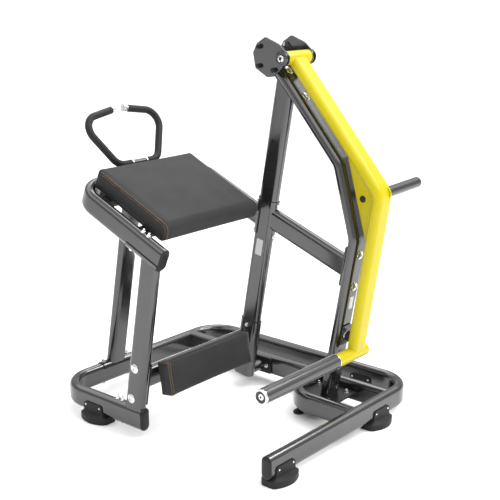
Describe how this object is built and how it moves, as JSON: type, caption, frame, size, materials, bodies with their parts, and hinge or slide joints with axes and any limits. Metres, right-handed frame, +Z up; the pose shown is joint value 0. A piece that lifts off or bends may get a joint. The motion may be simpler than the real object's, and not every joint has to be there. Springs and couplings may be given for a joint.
{
  "type": "glute kickback machine",
  "caption": "Lever machine on a flat-oval tube frame: inclined chest pad, handles, shin pad, and a bent swinging arm with a foot roller and a weight peg.",
  "frame": {"origin": "on the floor, under the middle of the machine's bounding box", "axes": "+X is the way the user's leg kicks the roller, away from the pads; +Y points from the user's station to the lever's post; +Z is up"},
  "size_m": [1.3216, 1.1746, 1.6802],
  "materials": {
    "frame_grey": "smooth dark grey metallic powder coat",
    "dark_steel": "satin near-black powder coat",
    "lever_yellow": "glossy lemon yellow powder coat",
    "black_plastic": "moulded, fine grain",
    "black_rubber": "matt",
    "roller_grey": "smooth grey sleeve with a soft shine",
    "vinyl": "charcoal synthetic leather, fine grain, tan double stitching",
    "plywood": "raw board under the pad",
    "chrome": "bright",
    "bright_steel": "zinc plated"
  },
  "bodies": {
    "frame": {"base_tube_left": "frame_grey", "base_tube_right": "frame_grey", "base_inner_rail": "frame_grey", "base_inner_loop": "frame_grey", "post_front_left": "frame_grey", "post_back_left": "frame_grey", "central_post": "frame_grey", "socket_link": "frame_grey", "shin_crossbar": "frame_grey", "pad_rail": "frame_grey", "brace_tube": "frame_grey", "bent_post": "frame_grey", "pivot_plate_near": "frame_grey", "pivot_plate_far": "frame_grey", "saddle_front_foot": "frame_grey", "saddle_front_top": "frame_grey", "saddle_back_foot": "frame_grey", "saddle_pad_rail": "frame_grey", "saddle_brace": "frame_grey", "central_post_flange": "dark_steel", "post_socket": "dark_steel", "socket_flange": "dark_steel", "crossbar_flange": "dark_steel", "brace_flange": "dark_steel", "head_bracket": "dark_steel", "stop_plate": "dark_steel", "pad_member_back": "dark_steel", "pad_member_front": "dark_steel", "shin_bracket": "dark_steel", "handle_bar": "dark_steel", "handle_mount": "dark_steel", "cap_left_run": "black_plastic", "cap_front_bar": "black_plastic", "cap_pad_rail": "black_plastic", "base_plate": "black_plastic", "foot_left": "black_rubber", "foot_front": "black_rubber", "foot_right": "black_rubber", "foot_back_right": "black_rubber", "foot_back_left": "black_rubber", "levelling_foot": "black_rubber", "grip_near": "black_rubber", "grip_far": "black_rubber", "stop_bumper": "black_rubber", "chest_pad": "vinyl", "shin_pad": "vinyl", "chest_board": "plywood", "handle_cap_near": "chrome", "handle_cap_far": "chrome", "pivot_shaft": "bright_steel"},
    "kick_lever": {"kick_arm": "lever_yellow", "arm_gusset": "lever_yellow", "arm_pivot_tube": "lever_yellow", "arm_foot_bar": "lever_yellow", "pivot_bearing_near": "bright_steel", "pivot_bearing_far": "bright_steel", "weight_peg": "dark_steel", "roller_ring": "chrome", "roller_cap": "chrome"},
    "foot_roller": {"roller_sleeve": "roller_grey"}
  },
  "joints": [
    {"name": "arm_swing", "type": "hinge", "parent": "frame", "child": "kick_lever", "pos_m": [0.1521, 0.204, 1.594], "axis": [0, -1, 0], "range_deg": [0, 60]},
    {"name": "roller_spin", "type": "hinge", "parent": "kick_lever", "child": "foot_roller", "pos_m": [0.5035, -0.196, 0.329], "axis": [0, 1, 0], "continuous": true}
  ]
}
